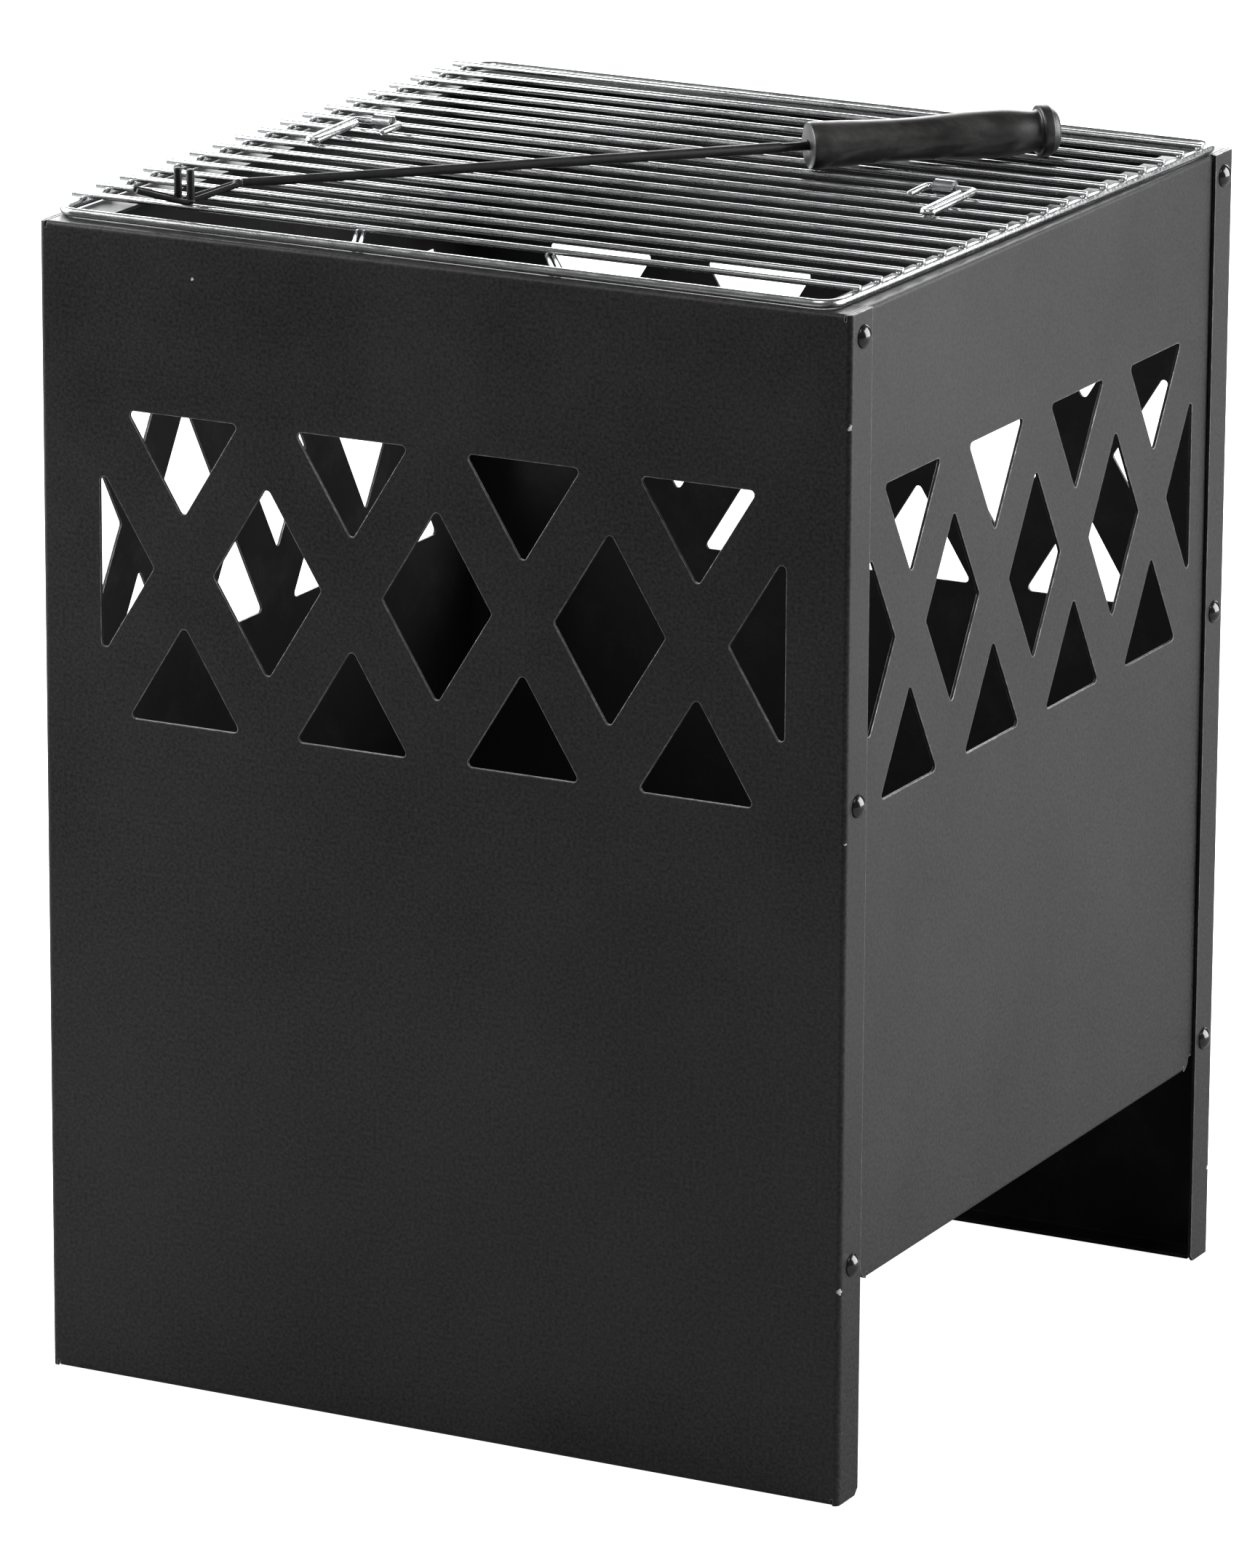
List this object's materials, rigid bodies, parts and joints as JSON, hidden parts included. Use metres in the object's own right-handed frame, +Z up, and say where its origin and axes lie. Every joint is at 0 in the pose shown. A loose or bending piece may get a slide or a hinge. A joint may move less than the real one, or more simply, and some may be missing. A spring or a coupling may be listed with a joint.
{
  "type": "fire pit with grate",
  "caption": "Square black sheet-steel fire pit with crossed-strip openings round the top, a wire grate and a lifter with a turned handle",
  "frame": {"origin": "on the floor, under the middle of the box", "axes": "+Z up, -Y out of the front plate, +X to the right seen from the front"},
  "size_m": [0.4066, 0.4, 0.5662],
  "materials": {
    "black_steel": "satin black heat-proof coat",
    "bolt_black": "glossy black button heads",
    "zinc": "zinc plated",
    "raw_steel": "dull mill finish, heat marked",
    "chrome_wire": "bright plated wire",
    "black_rod": "black coated rod",
    "black_plastic": "turned grip, half gloss"
  },
  "bodies": {
    "box": {"front_plate": "black_steel", "back_plate": "black_steel", "left_panel": "black_steel", "right_panel": "black_steel", "fire_tray": "raw_steel", "bolt_front_right_low": "bolt_black", "bolt_front_right_middle": "bolt_black", "bolt_front_right_top": "bolt_black", "bolt_front_left_low": "bolt_black", "bolt_front_left_middle": "bolt_black", "bolt_front_left_top": "bolt_black", "bolt_back_right_low": "bolt_black", "bolt_back_right_middle": "bolt_black", "bolt_back_right_top": "bolt_black", "bolt_back_left_low": "bolt_black", "bolt_back_left_middle": "bolt_black", "bolt_back_left_top": "bolt_black", "nut_front_right_low": "zinc", "nut_front_right_middle": "zinc", "nut_front_right_top": "zinc", "nut_front_left_low": "zinc", "nut_front_left_middle": "zinc", "nut_front_left_top": "zinc", "nut_back_right_low": "zinc", "nut_back_right_middle": "zinc", "nut_back_right_top": "zinc", "nut_back_left_low": "zinc", "nut_back_left_middle": "zinc", "nut_back_left_top": "zinc"},
    "grate": {"grate_grid": "chrome_wire", "left_bail_sleeve": "chrome_wire", "right_bail_sleeve": "chrome_wire"},
    "left_bail": {"left_bail": "chrome_wire"},
    "right_bail": {"right_bail": "chrome_wire"},
    "lifter": {"lifter_fork": "black_rod", "lifter_shaft": "black_rod", "lifter_handle": "black_plastic"}
  },
  "joints": [
    {"name": "grate_lift_off", "type": "slide", "parent": "box", "child": "grate", "axis": [0, 0, 1], "range_m": [0, 0.15]},
    {"name": "left_bail_hinge", "type": "hinge", "parent": "grate", "child": "left_bail", "pos_m": [-0.14475, 0.01556, 0.5457], "axis": [-0.9998, 0.0192, 0], "range_deg": [0, 180]},
    {"name": "right_bail_hinge", "type": "hinge", "parent": "grate", "child": "right_bail", "pos_m": [0.1432, 0.01003, 0.5457], "axis": [-0.9998, 0.0192, 0], "range_deg": [0, 180]},
    {"name": "lifter_lift_off", "type": "slide", "parent": "grate", "child": "lifter", "axis": [0, 0, 1], "range_m": [0, 0.15]}
  ]
}
